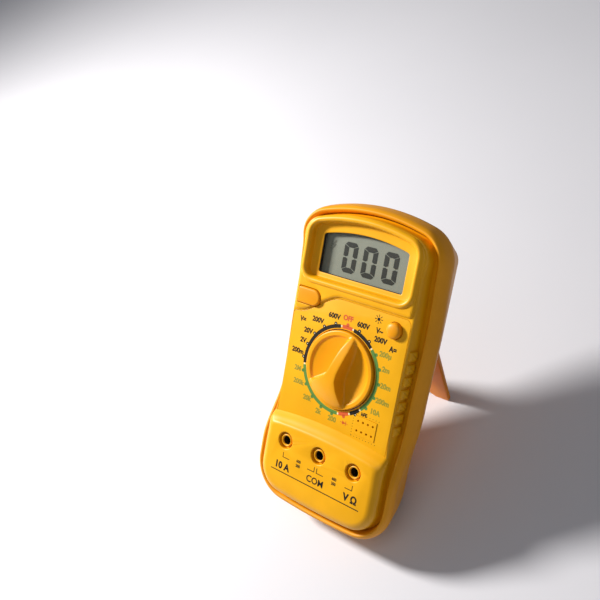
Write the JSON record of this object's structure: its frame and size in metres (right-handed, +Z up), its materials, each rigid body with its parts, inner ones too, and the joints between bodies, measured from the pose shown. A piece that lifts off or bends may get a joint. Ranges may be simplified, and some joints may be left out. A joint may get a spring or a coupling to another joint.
{
  "type": "digital multimeter",
  "caption": "Hand-held digital multimeter in a soft boot with rotary range selector, liquid crystal display, push buttons, test jacks and a hinged tilt stand.",
  "frame": {"origin": "centre of the bounding box footprint, at table level", "axes": "+Z up, +X to the right as seen by the user, +Y away from the user, towards the display end; the face leans back"},
  "size_m": [0.076, 0.1172, 0.1168],
  "materials": {
    "boot_rubber": "soft satin moulded rubber",
    "stand_plastic": "satin moulded plastic",
    "case_plastic": "satin moulded plastic, fine spark texture",
    "rear_plastic": "fine spark texture",
    "label_print": "printed polycarbonate film, satin",
    "clear_window": "clear acrylic, polished",
    "black_plastic": "moulded",
    "lcd": "reflective grey-green liquid crystal glass",
    "zebra": "layered conductive rubber",
    "light_guide": "frosted",
    "white_ceramic": "moulded",
    "circuit_board": "solder mask over copper",
    "knob_plastic": "satin moulded plastic",
    "white_plastic": "moulded",
    "gold_contact": "gold plated spring bronze",
    "steel": "zinc plated",
    "button_plastic": "satin moulded plastic",
    "brass": "nickel plated, slightly dull",
    "fuse_glass": "clear tube with plated caps",
    "tin_plate": "tin plated",
    "copper": "drawn resistance wire",
    "battery_shell": "printed metal jacket",
    "lead_insulation": "stranded lead insulation",
    "foam": "closed cell foam",
    "blue_plastic": "moulded",
    "capacitor_film": "dipped film",
    "resistor_coat": "lacquered"
  },
  "bodies": {
    "meter": {"boot": "boot_rubber", "front_case": "case_plastic", "rear_case": "rear_plastic", "dial_label": "label_print", "display_window": "clear_window", "lcd_frame": "black_plastic", "lcd_glass": "lcd", "zebra_strip": "zebra", "backlight_panel": "light_guide", "backlight_leds": "white_ceramic", "main_board": "circuit_board", "hold_switch": "black_plastic", "backlight_switch": "black_plastic", "jack_10a": "brass", "jack_common": "brass", "jack_volts": "brass", "transistor_socket": "case_plastic", "fuse": "fuse_glass", "fuse_clips": "tin_plate", "shunt_wire": "copper", "battery": "battery_shell", "battery_snap": "black_plastic", "battery_leads": "lead_insulation", "battery_pad": "foam", "converter_chip": "black_plastic", "buzzer": "black_plastic", "trimmer": "blue_plastic", "capacitors": "capacitor_film", "resistors": "resistor_coat", "case_screws": "steel", "board_screws": "steel"},
    "knob": {"selector_knob": "knob_plastic", "switch_rotor": "white_plastic", "wiper_contacts": "gold_contact", "detent_balls": "steel", "detent_springs": "steel"},
    "hold_key": {"hold_button": "button_plastic"},
    "light_key": {"backlight_button": "button_plastic"},
    "tilt_stand": {"stand": "stand_plastic"}
  },
  "joints": [
    {"name": "selector_turn", "type": "hinge", "parent": "meter", "child": "knob", "pos_m": [0, -0.00967, 0.06742], "axis": [0, -0.7242, 0.6896], "continuous": true},
    {"name": "hold_press", "type": "slide", "parent": "meter", "child": "hold_key", "axis": [0, 0.7242, -0.6896], "range_m": [0, 0.001], "stiffness_N_per_m": 800, "springref_m": -0.0005},
    {"name": "backlight_press", "type": "slide", "parent": "meter", "child": "light_key", "axis": [0, 0.7242, -0.6896], "range_m": [0, 0.001], "stiffness_N_per_m": 800, "springref_m": -0.0005},
    {"name": "stand_fold", "type": "hinge", "parent": "meter", "child": "tilt_stand", "pos_m": [0, 0.02691, 0.05799], "axis": [1, 0, 0], "range_deg": [-48.5, 0]}
  ]
}
